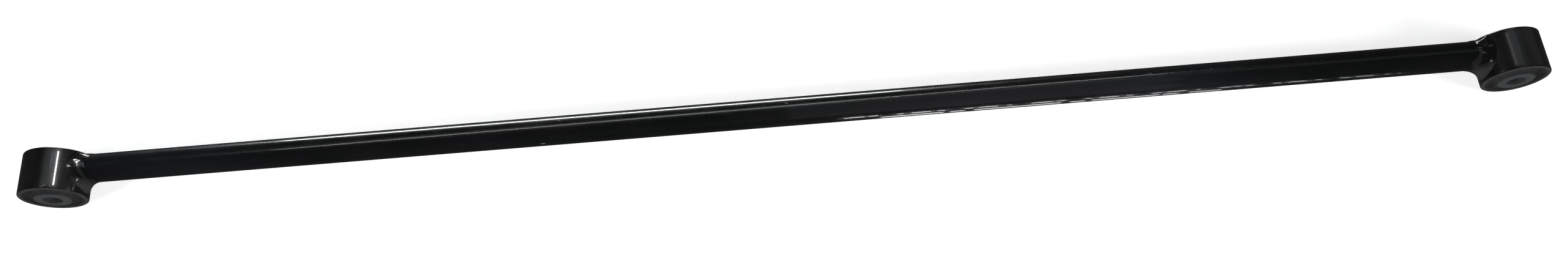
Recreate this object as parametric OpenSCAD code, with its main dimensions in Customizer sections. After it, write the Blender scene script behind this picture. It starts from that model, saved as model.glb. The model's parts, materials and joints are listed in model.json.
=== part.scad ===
// Lateral rod: a straight steel tube with a rubber-bushed eye welded to each end.
// X runs along the rod, Y along the two bolt axes and Z points up.
// The origin lies midway between the bolt axes. The rod rests on its two eyes.

/* [Rod] */
// Distance between the two bolt axes
centre_distance = 1000; // [600:10:1400]
// Outside diameter of the rod tube
tube_d = 20; // [14:1:24]
// Wall of the rod tube
tube_wall = 2.5; // [1.5:0.1:4]
// How far the tube's flank is set in from the far faces of the eyes
flank_setback = 0; // [0:0.5:3]

/* [Eyes] */
// Outside diameter of each eye
eye_d = 43; // [40:1:54]
// Width of each eye along its bolt axis
eye_width = 30; // [26:1:40]
// Wall of each eye
eye_wall = 3; // [2:0.25:4]
// Bevel on the rims of each eye
eye_bevel = 0.8; // [0.3:0.1:1.2]

/* [Bushes] */
// Wall of the pressed-in outer shell
shell_wall = 1.1; // [0.8:0.1:1.6]
// How far each end of the shell lies inside the face of the eye
shell_inset = 0.4; // [0.2:0.1:1]
// Outside diameter of the inner sleeve
sleeve_d = 23; // [19:0.5:25]
// How far the inner sleeve stands proud of each face of the eye
sleeve_proud = 1.5; // [1:0.1:4]
// Bevel on both ends of the inner sleeve
sleeve_bevel = 0.7; // [0.3:0.1:1]
// Bolt hole through the inner sleeve, for an M12 bolt
bolt_hole_d = 12.2; // [10.2:0.1:14.2]
// How far the rim of the rubber lies inside the face of the eye
rubber_recess = 0.8; // [0.6:0.1:3]
// Extra depth of the hollow moulded into each face of the rubber
rubber_hollow = 1.8; // [0.5:0.1:3]

/* [Welds] */
// Height of the weld on the eye, measured out from the tube
weld_leg = 5; // [3:0.5:6]
// Length of the weld along the tube, measured out from the eye
weld_reach = 6; // [3:0.5:8]

/* [Hidden] */

// Radial gap that lets the rubber be a piece of its own
rubber_gap = 0.05;
// How far a cutter passes the surface that it cuts
overcut = 1;
// Height of the blunt toe that a weld starts with on the tube
weld_toe = 0.4;
// Straight steps in the hollow curve of a weld
weld_steps = 8;

LEFT = -1;
RIGHT = 1;

tube_r = tube_d / 2;
eye_r = eye_d / 2;
shell_r = eye_r - eye_wall;
rubber_r = shell_r - shell_wall - rubber_gap;
sleeve_r = sleeve_d / 2;
sleeve_width = eye_width + 2 * sleeve_proud;
rubber_bore_r = sleeve_r + rubber_gap;
rubber_width = eye_width - 2 * rubber_recess;

// The tube runs beside the far face of the eyes, so it isn't centred on their width
tube_y = eye_width / 2 - tube_r - flank_setback;
// Where the highest point of the weld meets the round wall of the eye
weld_top_z = tube_r + weld_leg;
weld_top_x = sqrt(pow(eye_r, 2) - pow(weld_top_z, 2));

$fn = 96;

// Places its children, drawn around the Z axis, on the bolt axis of one end
module on_bolt_axis(side) {
    translate([side * centre_distance / 2, 0, 0])
        rotate([90, 0, 0])
            children();
}

// A ring around the Z axis, centred on the origin, with bevels on its outer rims
module bevelled_ring(outer_r, bore_r, width, bevel) {
    half = width / 2;
    rotate_extrude()
        polygon([
            [bore_r, -half],
            [outer_r - bevel, -half],
            [outer_r, -half + bevel],
            [outer_r, half - bevel],
            [outer_r - bevel, half],
            [bore_r, half],
        ]);
}

// A cylinder along the rod, at the tube's place, from x_start to x_end
module rod_cylinder(radius, x_start, x_end) {
    translate([x_start, tube_y, 0])
        rotate([0, 90, 0])
            cylinder(r = radius, h = x_end - x_start);
}

// The solid outline of an eye, which the tube and the welds are cut back to
module eye_outline(side) {
    on_bolt_axis(side)
        cylinder(r = eye_r, h = 2 * eye_width, center = true);
}

module rod_tube() {
    half = centre_distance / 2;
    color("#17181a")
        difference() {
            rod_cylinder(tube_r, -half, half);
            rod_cylinder(tube_r - tube_wall, -half - overcut, half + overcut);
            eye_outline(LEFT);
            eye_outline(RIGHT);
        }
}

module eye(side) {
    color("#1c1d20")
        on_bolt_axis(side)
            bevelled_ring(eye_r, shell_r, eye_width, eye_bevel);
}

// The weld's surface around the tube, which spreads out to fill the corner beside the eye
module weld_flare() {
    start_x = eye_r + weld_reach;
    start_r = tube_r + weld_toe;
    depth = weld_reach + weld_leg / 2;
    spread = eye_width / 2;
    curve = [
        for (i = [0:weld_steps]) let (a = 90 * i / weld_steps)
            [start_r + spread * (1 - cos(a)), start_x - depth * sin(a)]
    ];
    translate([0, tube_y, 0])
        rotate([0, 90, 0])
            rotate_extrude()
                polygon(concat(curve, [[start_r + spread, 0], [0, 0], [0, start_x]]));
}

// The weld's outline seen along the bolt axis, which limits its height on the wall of the eye
module weld_height() {
    start_x = eye_r + weld_reach + overcut;
    start_z = tube_r + 3 * weld_toe;
    slope = (weld_top_z - start_z) / (start_x - weld_top_x);
    end_x = weld_top_x - overcut;
    end_z = weld_top_z + slope * overcut;
    rotate([90, 0, 0])
        linear_extrude(height = eye_width - 2 * eye_bevel, center = true)
            polygon([[start_x, start_z], [end_x, end_z], [end_x, -end_z], [start_x, -start_z]]);
}

// The weld starts round on the tube and grows to nearly the full width of the eye
module weld(side) {
    color("#202124")
        difference() {
            translate([side * centre_distance / 2, 0, 0])
                mirror([side > 0 ? 1 : 0, 0, 0])
                    intersection() {
                        weld_flare();
                        weld_height();
                    }
            eye_outline(side);
            rod_cylinder(tube_r, -centre_distance / 2, centre_distance / 2);
        }
}

module bush_shell(side) {
    color("#4a4c50")
        on_bolt_axis(side)
            bevelled_ring(shell_r, shell_r - shell_wall, eye_width - 2 * shell_inset, shell_wall / 3);
}

// Each face of the rubber is hollowed by a shallow arc between its two rims
module bush_rubber(side) {
    steps = 12;
    half = rubber_width / 2;
    span = rubber_r - rubber_bore_r;
    face = [for (i = [0:steps]) [rubber_bore_r + span * i / steps, half - rubber_hollow * sin(180 * i / steps)]];
    back = [for (i = [steps:-1:0]) [face[i][0], -face[i][1]]];
    color("#111111")
        on_bolt_axis(side)
            rotate_extrude()
                polygon(concat(face, back));
}

module bush_sleeve(side) {
    color("#8f9296")
        on_bolt_axis(side)
            bevelled_ring(sleeve_r, bolt_hole_d / 2, sleeve_width, sleeve_bevel);
}

rod_tube();
eye(LEFT);  // left_eye
eye(RIGHT);  // right_eye
weld(LEFT);  // left_weld
weld(RIGHT);  // right_weld
bush_shell(LEFT);  // left_bush_shell
bush_shell(RIGHT);  // right_bush_shell
bush_rubber(LEFT);  // left_bush_rubber
bush_rubber(RIGHT);  // right_bush_rubber
bush_sleeve(LEFT);  // left_bush_sleeve
bush_sleeve(RIGHT);  // right_bush_sleeve
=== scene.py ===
import json
import math

import bpy
from mathutils import Matrix, Vector, noise


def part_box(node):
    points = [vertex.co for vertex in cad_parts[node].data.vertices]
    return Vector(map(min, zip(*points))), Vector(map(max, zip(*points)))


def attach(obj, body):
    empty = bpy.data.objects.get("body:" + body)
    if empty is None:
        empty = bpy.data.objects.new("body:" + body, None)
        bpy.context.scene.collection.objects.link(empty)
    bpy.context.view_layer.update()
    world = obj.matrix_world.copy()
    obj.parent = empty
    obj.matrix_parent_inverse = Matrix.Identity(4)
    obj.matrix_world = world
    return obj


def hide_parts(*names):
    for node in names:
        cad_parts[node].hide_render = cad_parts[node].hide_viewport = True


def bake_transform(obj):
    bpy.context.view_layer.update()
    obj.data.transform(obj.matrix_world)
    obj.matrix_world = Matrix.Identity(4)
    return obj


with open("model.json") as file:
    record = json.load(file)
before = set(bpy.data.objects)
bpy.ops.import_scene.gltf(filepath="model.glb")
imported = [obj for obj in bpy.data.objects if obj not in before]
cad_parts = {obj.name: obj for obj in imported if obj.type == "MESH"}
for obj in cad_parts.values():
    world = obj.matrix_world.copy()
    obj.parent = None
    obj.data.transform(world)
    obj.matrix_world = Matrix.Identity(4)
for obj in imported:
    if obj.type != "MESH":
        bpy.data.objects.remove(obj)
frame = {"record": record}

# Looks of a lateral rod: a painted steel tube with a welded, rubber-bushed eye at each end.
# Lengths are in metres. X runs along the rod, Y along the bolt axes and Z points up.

MM = 0.001
TAU = 2 * math.pi

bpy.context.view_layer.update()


# ---------------------------------------------------------------- sizes, read from the frame

def centre_of(node):
    low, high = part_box(node)
    return (low + high) / 2


def half_size_of(node):
    low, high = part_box(node)
    return (high - low) / 2


SIDES = {"left": -1, "right": 1}
EYE_X = centre_of("right_eye").x
EYE_R = half_size_of("right_eye").z
EYE_HALF_WIDTH = half_size_of("right_eye").y
SHELL_R = half_size_of("right_bush_shell").z
SHELL_HALF_WIDTH = half_size_of("right_bush_shell").y
RUBBER_R = half_size_of("right_bush_rubber").z
RUBBER_HALF_WIDTH = half_size_of("right_bush_rubber").y
SLEEVE_R = half_size_of("right_bush_sleeve").z
SLEEVE_HALF_WIDTH = half_size_of("right_bush_sleeve").y
TUBE_R = half_size_of("rod_tube").z
TUBE_Y = centre_of("rod_tube").y
WELD_START_X = EYE_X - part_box("right_weld")[0].x
BOLT_HOLE_R = next(
    m["dims"]["r_mm"] * MM for m in frame["record"]["mounts"] if m["name"] == "right_bolt_bore"
)
FLOOR_Z = -EYE_R


# ---------------------------------------------------------------- mesh helpers

def new_object(name, verts, faces, material):
    mesh = bpy.data.meshes.new(name)
    mesh.from_pydata([tuple(v) for v in verts], [], faces)
    mesh.validate()
    mesh.update()
    for polygon in mesh.polygons:
        polygon.use_smooth = True
    mesh.materials.append(material)
    obj = bpy.data.objects.new(name, mesh)
    bpy.context.scene.collection.objects.link(obj)
    return obj


def grid_faces(rows, columns, close_rows=False, close_columns=False):
    """Quads of a grid of vertices that are numbered row by row."""
    faces = []
    for i in range(rows if close_rows else rows - 1):
        for j in range(columns if close_columns else columns - 1):
            a = i * columns + j
            b = i * columns + (j + 1) % columns
            c = ((i + 1) % rows) * columns + (j + 1) % columns
            d = ((i + 1) % rows) * columns + j
            faces.append((a, b, c, d))
    return faces


def rounded_corner(corner, before, after, radius, steps=5):
    """Points of an arc that rounds the corner between two neighbouring points."""
    u = (Vector(before) - Vector(corner)).normalized()
    v = (Vector(after) - Vector(corner)).normalized()
    half_angle = u.angle(v) / 2
    reach = radius / math.tan(half_angle)
    centre = Vector(corner) + (u + v).normalized() * (radius / math.sin(half_angle))
    start = Vector(corner) + u * reach - centre
    end = Vector(corner) + v * reach - centre
    turn = start.angle_signed(end)
    points = []
    for k in range(steps + 1):
        a = -turn * k / steps
        points.append(centre + Matrix.Rotation(a, 2) @ start)
    return points


def rounded_profile(corners, radii, steps=5):
    """A closed outline of (radius, y) points, with its corners rounded."""
    points = []
    count = len(corners)
    for i, corner in enumerate(corners):
        if radii[i] <= 0:
            points.append(Vector(corner))
            continue
        points += rounded_corner(corner, corners[i - 1], corners[(i + 1) % count], radii[i], steps)
    return points


def subdivided(points, longest):
    """The closed outline again, with no stretch longer than asked."""
    out = []
    count = len(points)
    for i, p in enumerate(points):
        q = points[(i + 1) % count]
        pieces = max(1, math.ceil((q - p).length / longest))
        out += [p.lerp(q, k / pieces) for k in range(pieces)]
    return out


def lathe(name, profile, centre, material, segments=128, wobble=None):
    """Turns a closed (radius, y) outline about the bolt axis through centre."""
    verts = []
    for i in range(segments):
        angle = TAU * i / segments
        for radius, y in profile:
            direction = Vector((math.sin(angle), 0, math.cos(angle)))
            point = centre + direction * radius + Vector((0, y, 0))
            if wobble:
                point += wobble(point, direction, radius, y)
            verts.append(point)
    faces = grid_faces(segments, len(profile), close_rows=True, close_columns=True)
    return new_object(name, verts, faces, material)


# ---------------------------------------------------------------- materials

class Nodes:
    """A short way to write a material's node tree."""

    def __init__(self, name):
        self.material = bpy.data.materials.new(name)
        self.material.use_nodes = True
        self.tree = self.material.node_tree
        self.tree.nodes.clear()
        self.output = self.tree.nodes.new("ShaderNodeOutputMaterial")
        self.shader = self.tree.nodes.new("ShaderNodeBsdfPrincipled")
        self.link(self.shader.outputs[0], self.output.inputs[0])
        self.coordinates = self.tree.nodes.new("ShaderNodeTexCoord").outputs["Object"]

    def link(self, source, target):
        self.tree.links.new(source, target)

    def set(self, socket, value):
        if hasattr(value, "is_linked"):
            self.link(value, self.shader.inputs[socket])
        else:
            self.shader.inputs[socket].default_value = value

    def mapped(self, scale):
        node = self.tree.nodes.new("ShaderNodeMapping")
        node.inputs["Scale"].default_value = scale
        self.link(self.coordinates, node.inputs["Vector"])
        return node.outputs[0]

    def noise(self, size, detail=2.0, roughness=0.5, stretch=(1, 1, 1)):
        """Noise whose lumps are about size metres across, longer along an axis by its stretch."""
        node = self.tree.nodes.new("ShaderNodeTexNoise")
        self.link(self.mapped(tuple(1 / (size * s) for s in stretch)), node.inputs["Vector"])
        node.inputs["Scale"].default_value = 1.0
        node.inputs["Detail"].default_value = detail
        node.inputs["Roughness"].default_value = roughness
        return node.outputs["Fac"]

    def spots(self, size, stretch=(1, 1, 1)):
        """Distance to the nearest of scattered points about size metres apart."""
        node = self.tree.nodes.new("ShaderNodeTexVoronoi")
        self.link(self.mapped(tuple(1 / (size * s) for s in stretch)), node.inputs["Vector"])
        node.inputs["Scale"].default_value = 1.0
        return node.outputs["Distance"]

    def ramp(self, fac, low, high, start=0.0, end=1.0):
        """Maps fac from low..high to start..end, and holds the ends."""
        node = self.tree.nodes.new("ShaderNodeMapRange")
        node.inputs["From Min"].default_value = low
        node.inputs["From Max"].default_value = high
        node.inputs["To Min"].default_value = start
        node.inputs["To Max"].default_value = end
        self.link(fac, node.inputs["Value"])
        return node.outputs[0]

    def maths(self, operation, a, b):
        node = self.tree.nodes.new("ShaderNodeMath")
        node.operation = operation
        for socket, value in zip(node.inputs, (a, b)):
            if hasattr(value, "is_linked"):
                self.link(value, socket)
            else:
                socket.default_value = value
        return node.outputs[0]

    def mix(self, fac, a, b):
        """A colour between a and b."""
        node = self.tree.nodes.new("ShaderNodeMix")
        node.data_type = "RGBA"
        self.link(fac, node.inputs["Factor"])
        for name, value in (("A", a), ("B", b)):
            socket = next(s for s in node.inputs if s.name == name and s.type == "RGBA")
            if hasattr(value, "is_linked"):
                self.link(value, socket)
            else:
                socket.default_value = (*value, 1.0)
        return next(s for s in node.outputs if s.type == "RGBA")

    def towards(self, axis, sign=None):
        """How far a point lies along an axis: one way where a sign is given, else either way."""
        split = self.tree.nodes.new("ShaderNodeSeparateXYZ")
        self.link(self.coordinates, split.inputs[0])
        if sign:
            return self.maths("MULTIPLY", split.outputs[axis], sign)
        return self.maths("ABSOLUTE", split.outputs[axis], 0.0)

    def ripples(self, pitch, wander):
        """Waves along X whose crests are a pitch apart and wander a little."""
        shift = self.maths("MULTIPLY", self.noise(6 * MM, detail=2), 2 * wander)
        place = self.maths("ADD", self.towards("X", 1), shift)
        return self.maths("SINE", self.maths("MULTIPLY", place, TAU / pitch), 0.0)

    def bump(self, height, distance, under=None):
        node = self.tree.nodes.new("ShaderNodeBump")
        node.inputs["Distance"].default_value = distance
        node.inputs["Strength"].default_value = 1.0
        self.link(height, node.inputs["Height"])
        if under:
            self.link(under, node.inputs["Normal"])
        return node.outputs[0]


# Colours are linear red, green and blue.
BARE_STEEL = (0.10, 0.103, 0.106)
# Pale grey: worn paint on the eyes' end faces, and a painted reflection of the pale floor on the welds' -Y
# side.
PALE_WEAR_AND_FLOOR_REFLECTION = (0.034, 0.036, 0.035)

# How far apart the paint's marks lie, from its widest stains to its finest grit.
HAZE_SIZE = 48 * MM
STAIN_SIZE = 22 * MM
CHIP_PATCH_SIZE = 14 * MM
CHIP_SPACING = 7 * MM
SCUFF_SIZE = 5 * MM
# Size of the pale patches: worn paint on the eyes' end faces, painted floor reflection on the welds' -Y
# side.
WEAR_AND_REFLECTION_PATCH_SIZE = 4 * MM
PEEL_SIZE = 3.2 * MM
CHATTER_PITCH = 1.9 * MM
CHATTER_WANDER = 0.5 * MM
GRIT_SIZE = 0.5 * MM

GRIT_SHARE = 0.12
CHIP_DEPTH = 0.05 * MM
SCUFFED_ROUGHER = 0.14
CHIPPED_ROUGHER = 0.2
DULL_ROUGHER = 0.25


def paint(name, dark, light, haze_tint, roughness, peel, stretch, chipped=0.40, chatter=0.0,
          dull_beyond=None, dull_way=None, dull_fade=0.3 * MM, shiny_within=None):
    """Black paint over steel: orange peel, soft stains, dust and a few chips down to the metal.

    dark, light and haze_tint are its colours, peel is the height of the orange peel, and a larger
    chipped lets chips into more of the surface. chatter is the height of the faint crosswise ripples
    that drawing leaves on a tube. The paint is dull and paler where it lies farther than dull_beyond
    along the bolt axis, one way or both, but not within shiny_within of the rod's middle. That paler
    colour is worn paint on the eyes' two end faces, and a painted reflection of the pale floor on
    the welds' -Y side.
    """
    n = Nodes(name)
    stains = n.noise(STAIN_SIZE, detail=4, roughness=0.6, stretch=stretch)
    colour = n.mix(n.ramp(stains, 0.35, 0.7), dark, light)
    haze = n.noise(HAZE_SIZE, detail=3, stretch=stretch)
    colour = n.mix(n.ramp(haze, 0.52, 0.72), colour, haze_tint)
    chip_shape = n.ramp(n.spots(CHIP_SPACING, stretch=stretch), 0.10, 0.07)
    chip_place = n.ramp(n.noise(CHIP_PATCH_SIZE, detail=3), 1.0 - chipped, 1.04 - chipped)
    chips = n.maths("MULTIPLY", chip_shape, chip_place)
    scuffs = n.noise(SCUFF_SIZE, detail=5, roughness=0.65, stretch=stretch)
    rough = n.ramp(scuffs, 0.3, 0.75, roughness, roughness + SCUFFED_ROUGHER)
    if dull_beyond:
        # Paler, rougher paint: worn paint where both ends are dulled, and a painted reflection of the pale
        # floor where only the -Y side is.
        pale_wear_and_reflection = n.ramp(n.towards("Y", dull_way), dull_beyond, dull_beyond + dull_fade)
        patches = n.ramp(n.noise(WEAR_AND_REFLECTION_PATCH_SIZE, detail=4), 0.25, 0.6, 0.6, 1.0)
        pale_wear_and_reflection = n.maths("MULTIPLY", pale_wear_and_reflection, patches)
        if shiny_within:
            away = n.ramp(n.towards("X"), shiny_within, shiny_within + dull_fade)
            pale_wear_and_reflection = n.maths("MULTIPLY", pale_wear_and_reflection, away)
        colour = n.mix(pale_wear_and_reflection, colour, PALE_WEAR_AND_FLOOR_REFLECTION)
        rough = n.maths("ADD", rough, n.maths("MULTIPLY", pale_wear_and_reflection, DULL_ROUGHER))
    n.set("Base Color", n.mix(chips, colour, BARE_STEEL))
    n.set("Roughness", n.maths("ADD", rough, n.maths("MULTIPLY", chips, CHIPPED_ROUGHER)))
    relief = n.bump(n.noise(PEEL_SIZE, detail=1.5, stretch=stretch), peel)
    relief = n.bump(n.noise(GRIT_SIZE, detail=2), peel * GRIT_SHARE, under=relief)
    if chatter:
        relief = n.bump(n.ripples(CHATTER_PITCH, CHATTER_WANDER), chatter, under=relief)
    n.set("Normal", n.bump(chips, -CHIP_DEPTH, under=relief))
    n.set("Specular IOR Level", 0.4)
    n.set("Coat Weight", 0.6)
    n.set("Coat Roughness", 0.05)
    return n.material


def rod_paint():
    """Paint on the tube, with stains drawn out along it."""
    return paint(
        "rod_paint_look",
        dark=(0.0018, 0.0026, 0.0024),
        light=(0.0052, 0.0046, 0.0062),
        haze_tint=(0.0066, 0.0074, 0.0096),
        roughness=0.20,
        peel=0.012 * MM,
        stretch=(3.5, 1, 1),
        chatter=0.008 * MM,
    )


def eye_paint():
    """Paint on the eyes, dull on their two end faces."""
    return paint(
        "eye_paint_look",
        dark=(0.0026, 0.0030, 0.0026),
        light=(0.0075, 0.0080, 0.0078),
        haze_tint=(0.0090, 0.0088, 0.0098),
        roughness=0.24,
        peel=0.012 * MM,
        stretch=(0.4, 0.8, 0.4),
        chipped=0.33,
        dull_beyond=EYE_HALF_WIDTH - 0.5 * MM,
    )


def weld_paint():
    """Paint on the welds, paler on the side towards -Y as a painted reflection of the pale floor, though
    less so where it runs onto the tube.
    """
    return paint(
        "weld_paint_look",
        dark=(0.0022, 0.0024, 0.0025),
        light=(0.0055, 0.0055, 0.0060),
        haze_tint=(0.0060, 0.0060, 0.0062),
        roughness=0.16,
        peel=0.006 * MM,
        stretch=(1, 1, 1),
        chipped=0.2,
        # The paler colour on the -Y side is a painted reflection of the pale floor.
        dull_beyond=4 * MM,
        dull_way=-1,
        dull_fade=5 * MM,
        shiny_within=EYE_X - EYE_R - 10 * MM,
    )


def shell_steel():
    """Thin sprayed paint over the shell's steel, worn in patches."""
    n = Nodes("shell_steel_look")
    wear = n.ramp(n.noise(3 * MM, detail=4), 0.45, 0.68)
    n.set("Base Color", n.mix(wear, (0.014, 0.015, 0.015), (0.030, 0.031, 0.031)))
    n.set("Roughness", n.ramp(n.noise(1.5 * MM), 0.3, 0.7, 0.50, 0.66))
    n.set("Metallic", n.ramp(wear, 0.0, 1.0, 0.0, 0.3))
    n.set("Normal", n.bump(n.noise(0.8 * MM, detail=3), 0.02 * MM))
    return n.material


def bush_rubber():
    """Matt moulded rubber with a fine grain and a bloom of dust."""
    n = Nodes("bush_rubber_look")
    bloom = n.ramp(n.noise(6 * MM, detail=5, roughness=0.6), 0.4, 0.72)
    n.set("Base Color", n.mix(bloom, (0.016, 0.0162, 0.0165), (0.030, 0.030, 0.0295)))
    n.set("Roughness", n.ramp(bloom, 0.0, 1.0, 0.55, 0.78))
    grain = n.bump(n.noise(0.35 * MM, detail=3), 0.02 * MM)
    n.set("Normal", n.bump(n.noise(4 * MM, detail=2), 0.08 * MM, under=grain))
    return n.material


def sleeve_steel():
    """Turned steel, dulled by a thin coat of black overspray."""
    n = Nodes("sleeve_steel_look")
    film = n.ramp(n.noise(5 * MM, detail=4, roughness=0.6), 0.38, 0.66)
    n.set("Base Color", n.mix(film, (0.066, 0.068, 0.071), (0.038, 0.040, 0.042)))
    n.set("Metallic", n.ramp(film, 0.0, 1.0, 0.4, 0.1))
    n.set("Roughness", n.ramp(n.noise(1.2 * MM, detail=3), 0.3, 0.7, 0.38, 0.55))
    n.set("Normal", n.bump(n.noise(0.6 * MM, detail=2), 0.015 * MM))
    return n.material


# ---------------------------------------------------------------- pieces of the rod

def make_tube(material):
    """The painted tube, with the slight waviness of drawn and painted steel."""
    rings, segments = 400, 96
    into_eye = 0.3 * MM
    waviness = 0.012 * MM
    wave_length = 45 * MM
    verts = []
    for i in range(rings + 1):
        t = 2 * i / rings - 1
        for j in range(segments):
            angle = TAU * j / segments
            y, z = math.cos(angle), math.sin(angle)
            end_x = EYE_X - math.sqrt((EYE_R - into_eye) ** 2 - (TUBE_R * z) ** 2)
            x = t * end_x
            wave = noise.noise(Vector((x / wave_length, y * 1.3, z * 1.3)))
            radius = TUBE_R + waviness * (wave - 1)
            verts.append((x, TUBE_Y + radius * y, radius * z))
    faces = grid_faces(rings + 1, segments, close_columns=True)
    faces.append(tuple(range(segments - 1, -1, -1)))
    faces.append(tuple(rings * segments + j for j in range(segments)))
    obj = new_object("rod_tube_painted", verts, faces, material)
    for polygon in list(obj.data.polygons)[-2:]:
        polygon.use_smooth = False
    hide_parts("rod_tube")
    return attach(obj, "rod")


def make_eye(side, material):
    """The eye's thick steel ring, with rims that were rounded over when it was cut."""
    outer_rim = 1.1 * MM
    inner_rim = 0.5 * MM
    mid_wall = SHELL_R + 1.5 * MM
    dent_depth = 0.02 * MM
    dent_size = 9 * MM
    w = EYE_HALF_WIDTH
    corners = [(SHELL_R, -w), (EYE_R, -w), (EYE_R, w), (SHELL_R, w)]
    radii = [inner_rim, outer_rim, outer_rim, inner_rim]
    profile = subdivided(rounded_profile(corners, radii, 6), 2.5 * MM)

    def dents(point, direction, radius, y):
        if radius < mid_wall:
            return Vector((0, 0, 0))
        return direction * (dent_depth * (noise.noise(point / dent_size) - 1))

    obj = lathe(f"{side}_eye_painted", profile, centre_of(f"{side}_eye"), material, 160, dents)
    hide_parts(f"{side}_eye")
    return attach(obj, "rod")


# The near side is the side towards -Y, where the weld spreads farthest over the tube and the eye.
WELD_LEG = 5.2 * MM
WELD_NEAR_LEG = 2.6 * MM
WELD_LEG_WANDER = 0.7 * MM
WELD_REACH_SHARE = 0.9
WELD_NEAR_REACH_SHARE = {"left": 0.45, "right": 0.85}
WELD_REACH_WANDER = 0.9 * MM
WELD_CORNER = 0.9 * MM
WELD_SINK = 0.08 * MM
WELD_LUMPINESS = 0.26 * MM
WELD_RIPPLE = 0.012 * MM
WELD_RIPPLES_ROUND = 34
WELD_LUMPS_STAND_ALONG = 0.6
WELD_LUMPS_STAND_OUT = 0.8
WELD_ROOT = 0.8 * MM
WELD_FLANK = EYE_HALF_WIDTH - 0.8 * MM

# Where each weld run starts, stops or is heaped up: the angle round the tube in degrees, the share
# of the way from the tube to the eye, and the height.
WELD_LUMPS = {
    "left": [(72, 0.55, 0.32 * MM), (102, 0.75, 0.32 * MM), (142, 0.88, 0.55 * MM)],
    "right": [(63, 0.20, 0.35 * MM), (86, 0.55, 0.55 * MM), (131, 0.90, 0.40 * MM), (147, 0.70, 0.45 * MM)],
}


def heaped(side, angle, u):
    """Height of the weld's lumps at a place on it."""
    spread = 1.3 * MM
    length_round, length_across = 13 * MM, 10 * MM
    height = 0.0
    for lump_angle, lump_u, lump_height in WELD_LUMPS[side]:
        turn = math.remainder(angle - math.radians(lump_angle), TAU) * length_round
        step = (u - lump_u) * length_across
        height += lump_height * math.exp(-(turn * turn + step * step) / (2 * spread * spread))
    return height


def hollow_curve(start, corner, end, u):
    """A point on the curve that leaves start towards corner and arrives at end from corner."""
    return start * (1 - u) ** 2 + corner * (2 * u * (1 - u)) + end * u ** 2


def make_weld(side, material):
    """The weld: a painted-over fillet that runs out softly onto the tube and onto the eye."""
    sign = SIDES[side]
    around, across = 240, 30
    verts = []
    for i in range(around):
        angle = TAU * i / around
        outward, up = math.cos(angle), math.sin(angle)
        nearness = max(0.0, -outward)
        where = Vector((outward, up, 3.0 * sign))
        leg = WELD_LEG + WELD_NEAR_LEG * nearness ** 2 + WELD_LEG_WANDER * noise.noise(where * 2.2)
        on_wall = TUBE_R + leg
        if outward > 0:
            on_wall = min(on_wall, (WELD_FLANK - TUBE_Y) / outward)
        if outward < 0:
            on_wall = min(on_wall, (WELD_FLANK + TUBE_Y) / -outward)
        reach_share = WELD_REACH_SHARE + WELD_NEAR_REACH_SHARE[side] * nearness
        reach = (WELD_START_X - EYE_R) * reach_share + WELD_REACH_WANDER * noise.noise(where * 3.1)
        eye_at_tube = math.sqrt(EYE_R ** 2 - (TUBE_R * up) ** 2)
        eye_at_toe = math.sqrt(EYE_R ** 2 - (on_wall * up) ** 2)
        start = Vector((eye_at_tube + reach, TUBE_R - WELD_SINK))
        corner = Vector((eye_at_tube + WELD_CORNER, TUBE_R + WELD_CORNER))
        end = Vector((eye_at_toe - WELD_SINK, on_wall))
        for j in range(across):
            u = j / (across - 1)
            point = hollow_curve(start, corner, end, u)
            lump = noise.noise(Vector((outward * 2.6, up * 2.6, u * 2.2 + 5.0 * sign)))
            ripple = math.sin(angle * WELD_RIPPLES_ROUND + 2.0 * math.cos(math.pi * u))
            lift = WELD_LUMPINESS * lump + WELD_RIPPLE * ripple + heaped(side, angle, u)
            level_at_toes = min(1.0, 2.2 * math.sin(math.pi * u))
            lift *= level_at_toes
            x = point.x + lift * WELD_LUMPS_STAND_ALONG
            radius = point.y + lift * WELD_LUMPS_STAND_OUT
            y = min(TUBE_Y + radius * outward, EYE_HALF_WIDTH)
            verts.append((sign * (EYE_X - x), y, radius * up))
        root_x = EYE_X - eye_at_tube + 1.0 * MM
        root_r = TUBE_R - WELD_ROOT
        verts.append((sign * root_x, TUBE_Y + root_r * outward, root_r * up))
    faces = grid_faces(around, across + 1, close_rows=True, close_columns=True)
    if sign < 0:
        faces = [face[::-1] for face in faces]
    obj = new_object(f"{side}_weld_bead", verts, faces, material)
    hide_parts(f"{side}_weld")
    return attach(obj, "rod")


# ---------------------------------------------------------------- pieces of the bushes

def make_shell(side, material):
    """The bush's thin outer shell, with a rounded lip at both ends."""
    lip = 0.35 * MM
    w = SHELL_HALF_WIDTH
    inner_r = RUBBER_R + 0.02 * MM
    outer_r = SHELL_R - 0.02 * MM
    corners = [(inner_r, -w), (outer_r, -w), (outer_r, w), (inner_r, w)]
    profile = subdivided(rounded_profile(corners, [lip] * 4, 5), 4 * MM)
    obj = lathe(f"{side}_bush_shell_lip", profile, centre_of(f"{side}_bush_shell"), material, 128)
    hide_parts(f"{side}_bush_shell")
    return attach(obj, "rod")


RUBBER_SECTORS = 16
RUBBER_SEGMENTS = 96
RUBBER_MIDDLE = 0.5
RUBBER_INSET = 0.3 * MM
RUBBER_HOLLOW = 1.7 * MM
RUBBER_LIP = 0.35 * MM


def rubber_face_y(share):
    """How far out the rubber's face lies, from the sleeve at share 0 to the shell at share 1."""
    hollow = RUBBER_HOLLOW * math.sin(math.pi * share) ** 0.8
    lip = RUBBER_LIP * math.exp(-((share - 0.06) / 0.05) ** 2)
    return RUBBER_HALF_WIDTH - RUBBER_INSET - hollow + lip


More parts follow.
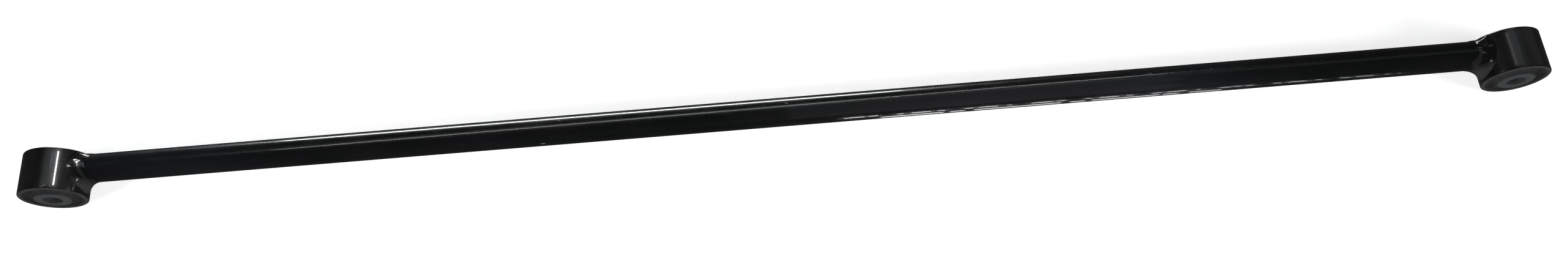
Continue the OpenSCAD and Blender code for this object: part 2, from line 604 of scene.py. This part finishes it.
def rubber_ring(name, side, material, share_in, share_out, start_angle, span, segments):
    """Part of the rubber, between two shares of its thickness and over an angle."""
    centre = centre_of(f"{side}_bush_rubber")
    inner_r = SLEEVE_R - 0.02 * MM
    outer_r = RUBBER_R + 0.03 * MM
    steps = 8
    shares = [share_in + (share_out - share_in) * k / steps for k in range(steps + 1)]
    outline = [(inner_r + (outer_r - inner_r) * s, rubber_face_y(s)) for s in shares]
    outline += [(r, -y) for r, y in reversed(outline)]
    closed = span >= TAU
    rows = segments if closed else segments + 1
    verts = []
    for i in range(rows):
        angle = start_angle + span * i / segments
        direction = Vector((math.sin(angle), 0, math.cos(angle)))
        verts += [centre + direction * r + Vector((0, y, 0)) for r, y in outline]
    faces = grid_faces(rows, len(outline), close_rows=closed, close_columns=True)
    if not closed:
        faces.append(tuple(range(len(outline) - 1, -1, -1)))
        faces.append(tuple((rows - 1) * len(outline) + k for k in range(len(outline))))
    obj = new_object(name, verts, faces, material)
    obj.data.set_sharp_from_angle(angle=math.radians(60))
    return obj


def make_rubber(side, material):
    """The rubber, bonded to the shell outside and to the sleeve inside, so that it shears between them.

    Its outer half is cut into sectors, each made as a piece of its own.
    """
    body = f"{side}_rubber"
    name = f"{side}_bush_rubber_core"
    core = rubber_ring(name, side, material, 0.0, RUBBER_MIDDLE, 0.0, TAU, RUBBER_SEGMENTS)
    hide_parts(f"{side}_bush_rubber")
    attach(core, body)
    span = TAU / RUBBER_SECTORS
    segments = RUBBER_SEGMENTS // RUBBER_SECTORS
    for k in range(RUBBER_SECTORS):
        name = f"{side}_bush_rubber_outer_{k + 1}"
        sector = rubber_ring(name, side, material, RUBBER_MIDDLE, 1.0, span * k, span, segments)
        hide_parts(f"{side}_bush_rubber")
        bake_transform(sector)


def make_sleeve(side, material):
    """The inner sleeve, with rounded bevels and fine serrations on its clamped faces."""
    hole_bevel = 0.5 * MM
    outer_bevel = 0.9 * MM
    teeth = 48
    tooth_depth = 0.10 * MM
    w = SLEEVE_HALF_WIDTH
    corners = [(BOLT_HOLE_R, -w), (SLEEVE_R, -w), (SLEEVE_R, w), (BOLT_HOLE_R, w)]
    radii = [hole_bevel, outer_bevel, outer_bevel, hole_bevel]
    profile = subdivided(rounded_profile(corners, radii, 5), 1.2 * MM)

    def serrations(point, direction, radius, y):
        on_face = abs(y) >= w - tooth_depth / 2
        if not on_face:
            return Vector((0, 0, 0))
        angle = math.atan2(direction.x, direction.z)
        depth = tooth_depth * (0.5 + 0.5 * math.cos(teeth * angle))
        return Vector((0, -math.copysign(depth, y), 0))

    centre = centre_of(f"{side}_bush_sleeve")
    obj = lathe(f"{side}_bush_sleeve_turned", profile, centre, material, 8 * teeth, serrations)
    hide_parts(f"{side}_bush_sleeve")
    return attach(obj, f"{side}_sleeve")


# ---------------------------------------------------------------- studio

LAMP_Z = 1.16
CEILING_Z = 1.20
LEFT_EYE = (-EYE_X, 0, 0)
RIGHT_EYE = (EYE_X, 0, 0)
ROD_MIDDLE = (0, 0, 0)
RIGHT_OF_MIDDLE = (0.15, 0, 0)
BLUISH = (0.86, 0.93, 1.0)


def area_light(name, place, target, size, power, spread=180, along=(1, 0, 0), colour=(1, 1, 1)):
    """A rectangle of light that faces target, with its first side along the given direction."""
    data = bpy.data.lights.new(name, "AREA")
    data.shape = "RECTANGLE"
    data.size, data.size_y = size
    data.energy = power
    data.color = colour
    data.spread = math.radians(spread)
    obj = bpy.data.objects.new(name, data)
    back = (Vector(place) - Vector(target)).normalized()
    across = back.cross(Vector(along)).normalized()
    basis = Matrix((across.cross(back), across, back)).transposed()
    obj.matrix_world = Matrix.Translation(Vector(place)) @ basis.to_4x4()
    obj.visible_camera = False
    bpy.context.scene.collection.objects.link(obj)
    return obj


def make_camera():
    """The view from above and in front of the rod's middle, turned a little to the left."""
    place = Vector((4.2, -304.4, 751.7)) * MM
    down = math.radians(68.91)
    turn = math.radians(-0.64)
    roll = math.radians(-5.26)
    level_forward = Vector((math.sin(turn), math.cos(turn), 0))
    forward = level_forward * math.cos(down) - Vector((0, 0, math.sin(down)))
    right = Vector((math.cos(turn), -math.sin(turn), 0))
    up = right.cross(forward)
    rolled_right = right * math.cos(roll) + up * math.sin(roll)
    rolled_up = up * math.cos(roll) - right * math.sin(roll)
    data = bpy.data.cameras.new("camera")
    data.sensor_width = 36.0
    data.lens = 27.14
    data.clip_start = 0.05
    data.clip_end = 20.0
    camera = bpy.data.objects.new("camera", data)
    basis = Matrix((rolled_right, rolled_up, -forward)).transposed()
    camera.matrix_world = Matrix.Translation(place) @ basis.to_4x4()
    bpy.context.scene.collection.objects.link(camera)
    bpy.context.scene.camera = camera


def make_floor():
    """White paper under the rod, kept out of the paint's reflections, which show a darker room."""
    n = Nodes("floor_paper")
    tone = n.ramp(n.noise(0.4, detail=2), 0.3, 0.7)
    n.set("Base Color", n.mix(tone, (0.90, 0.90, 0.90), (0.92, 0.92, 0.92)))
    n.set("Roughness", 0.8)
    n.set("Specular IOR Level", 0.2)
    n.set("Emission Color", (1.0, 1.0, 1.0, 1.0))
    n.set("Emission Strength", 0.62)
    half = 8.0  # metres, so that it fills the view from every side
    verts = [(-half, -half, FLOOR_Z), (half, -half, FLOOR_Z), (half, half, FLOOR_Z), (-half, half, FLOOR_Z)]
    floor = new_object("floor", verts, [(0, 1, 2, 3)], n.material)
    floor.visible_glossy = False


def make_world():
    """The dim room round the studio."""
    world = bpy.data.worlds.new("studio")
    world.use_nodes = True
    background = world.node_tree.nodes["Background"]
    background.inputs["Color"].default_value = (0.92, 1.0, 0.88, 1.0)
    background.inputs["Strength"].default_value = 0.035
    bpy.context.scene.world = world


def broken_up(light, wave_counts, shade):
    """Breaks a light into bright and dark lengths along its first side.

    The light shines where a sum of waves is above shade. wave_counts says how many of each wave fit
    along the light.
    """
    light.data.use_nodes = True
    tree = light.data.node_tree

    def maths(operation, a, b):
        node = tree.nodes.new("ShaderNodeMath")
        node.operation = operation
        for socket, value in zip(node.inputs, (a, b)):
            if hasattr(value, "is_linked"):
                tree.links.new(value, socket)
            else:
                socket.default_value = value
        return node.outputs[0]

    place = tree.nodes.new("ShaderNodeSeparateXYZ")
    tree.links.new(tree.nodes.new("ShaderNodeNewGeometry").outputs["Parametric"], place.inputs[0])
    wave = 0.0
    for count in wave_counts:
        wave = maths("ADD", maths("SINE", maths("MULTIPLY", place.outputs["X"], TAU * count), 0.0), wave)
    tree.links.new(maths("GREATER_THAN", wave, shade), tree.nodes["Emission"].inputs["Strength"])


def make_ceiling_tube():
    """A long thin lamp that crosses above the rod at a slant, as separate lengths aimed at the rod."""
    start = Vector((-0.84, 0.14, LAMP_Z))
    end = Vector((0.72, 0.91, LAMP_Z))
    count = 6
    size = ((end - start).length / count, 0.035)
    aim_share = 0.385
    for k in range(count):
        place = start.lerp(end, (k + 0.5) / count)
        target = (place.x * aim_share, TUBE_Y, 0)
        area_light(f"ceiling_tube_{k + 1}", place, target, size, power=0.016, spread=36, along=end - start)


def make_floor_strips():
    """Broken strips of light on the floor in front of the rod, which line its lower edge."""
    z = FLOOR_Z + 0.5 * MM
    outer = area_light(
        "outer_floor_strip",
        place=(0.245, -0.040, z),
        target=(0.245, 0, 0),
        size=(0.40, 0.0045),
        power=0.014,
        spread=70,
    )
    inner = area_light(
        "inner_floor_strip",
        place=(0.19, -0.016, z),
        target=(0.19, -0.004, 0),
        size=(0.24, 0.003),
        power=0.0035,
        spread=70,
    )
    broken_up(outer, wave_counts=(9, 23.7, 41.3), shade=0.0)
    broken_up(inner, wave_counts=(3.1, 14.3), shade=-1.2)


def make_weld_lamps():
    """Small narrow lamps, each aimed at one place on a weld so that it glints."""
    area_light(
        "left_weld_lamp",
        place=(0.78, 0.02, 0.336),
        target=Vector((-480.5, -7.2, 9.5)) * MM,
        size=(0.16, 0.08),
        power=0.008,
        spread=10,
    )
    area_light(
        "right_low_lamp",
        place=(-0.406, 0.104, 0.46),
        target=Vector((481.7, -5.0, 11.5)) * MM,
        size=(0.08, 0.08),
        power=0.001,
        spread=10,
    )


def make_eye_lamps():
    """The lamps that draw a streak down the wall of each eye, and the pale ceiling beside them."""
    area_light(
        "left_lamp",
        place=(0.10, 0.43, LAMP_Z),
        target=LEFT_EYE,
        size=(0.10, 0.14),
        power=0.07,
        spread=30,
    )
    area_light(
        "right_lamp",
        place=(0.16, 0.40, LAMP_Z),
        target=RIGHT_EYE,
        size=(0.18, 0.14),
        power=0.0048,
        spread=40,
        colour=(1, 0.95, 1),
    )
    area_light(
        "left_ceiling",
        place=(-0.39, 0.47, CEILING_Z),
        target=(-0.95, 0.47, 0),
        size=(1.12, 0.40),
        power=0.42,
        spread=110,
        colour=BLUISH,
    )
    area_light(
        "right_ceiling",
        place=(0.73, 0.47, CEILING_Z),
        target=(1.29, 0.47, 0),
        size=(1.02, 0.40),
        power=0.24,
        spread=110,
        colour=BLUISH,
    )


def make_windows():
    """Large soft lights that show as broad highlights along the tube and on the rims."""
    area_light(
        "right_window",
        place=(2.06, 0.70, 1.36),
        target=RIGHT_EYE,
        size=(0.60, 2.40),
        power=0.20,
        spread=100,
        along=(0, 1, 0),
        colour=(0.95, 0.95, 1.0),
    )
    area_light(
        "far_window",
        place=(-0.62, 3.0, 0.21),
        target=(-0.62, 0, 0.1),
        size=(2.0, 0.42),
        power=60,
        colour=(0.96, 0.98, 1.0),
    )
    area_light(
        "soft_top",
        place=(0.47, -0.4, 2.0),
        target=RIGHT_OF_MIDDLE,
        size=(0.94, 2.6),
        power=1.5,
        colour=(0.90, 0.93, 1.0),
    )
    area_light(
        "soft_front",
        place=(0.57, -2.4, 1.1),
        target=RIGHT_OF_MIDDLE,
        size=(1.13, 2.2),
        power=1.6,
        colour=(0.95, 0.92, 1.0),
    )


def make_fills():
    """Soft lights that brighten the floor and the dull faces, and don't show in the paint."""
    fills = [
        area_light("left_fill", (-2.4, -1.2, 1.3), ROD_MIDDLE, (1.2, 0.8), power=36),
        area_light("right_fill", (2.4, -1.2, 1.3), ROD_MIDDLE, (1.2, 0.8), power=36),
        area_light("front_fill", (0, -2.4, 0.5), ROD_MIDDLE, (2.4, 0.6), power=34),
    ]
    for fill in fills:
        fill.visible_glossy = False


def make_lights():
    make_ceiling_tube()
    make_floor_strips()
    make_weld_lamps()
    make_eye_lamps()
    make_windows()
    make_fills()


# ---------------------------------------------------------------- scene

make_camera()
make_world()
make_lights()
make_floor()
bpy.context.scene.view_settings.view_transform = "Standard"
bpy.context.scene.view_settings.look = "None"

make_tube(rod_paint())
eye_material = eye_paint()
weld_material = weld_paint()
shell_material = shell_steel()
rubber_material = bush_rubber()
sleeve_material = sleeve_steel()
for side_name in SIDES:
    make_eye(side_name, eye_material)
    make_weld(side_name, weld_material)
    make_shell(side_name, shell_material)
    make_rubber(side_name, rubber_material)
    make_sleeve(side_name, sleeve_material)
